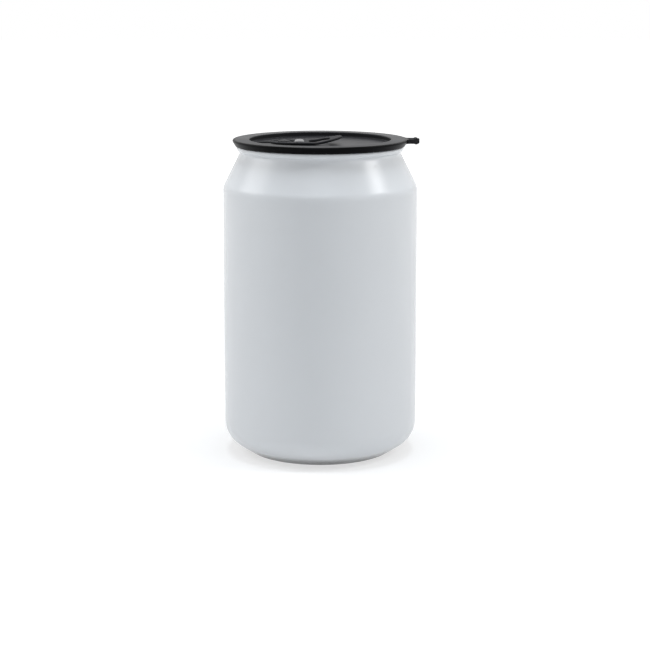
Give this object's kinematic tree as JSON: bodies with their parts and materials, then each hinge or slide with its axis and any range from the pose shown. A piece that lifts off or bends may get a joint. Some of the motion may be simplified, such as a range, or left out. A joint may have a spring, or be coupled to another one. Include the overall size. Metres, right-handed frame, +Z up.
{
  "type": "lidded drinks can",
  "caption": "Gloss white drinks can of aluminium with rounded shoulder, necked mouth and domed base, shut by a black press-on plastic lid with a thumb tab and a pull tab.",
  "frame": {"origin": "middle of the can's base, on the plane that its stand ring rests on", "axes": "+Z up along the can's axis, +X towards the thumb tab at the edge of the lid, +Y away from whoever faces the can with the thumb tab to the right"},
  "size_m": [0.0666, 0.066, 0.109],
  "materials": {
    "coated_aluminium": "gloss white coating on drawn aluminium, smooth and unprinted",
    "lid_plastic": "black moulded polypropylene, satin, with a faint moulding grain",
    "tab_plastic": "black moulded polypropylene, satin, edges a little polished by use"
  },
  "bodies": {
    "root": {"can": "coated_aluminium", "lid": "lid_plastic", "pull_tab": "tab_plastic"}
  },
  "joints": []
}
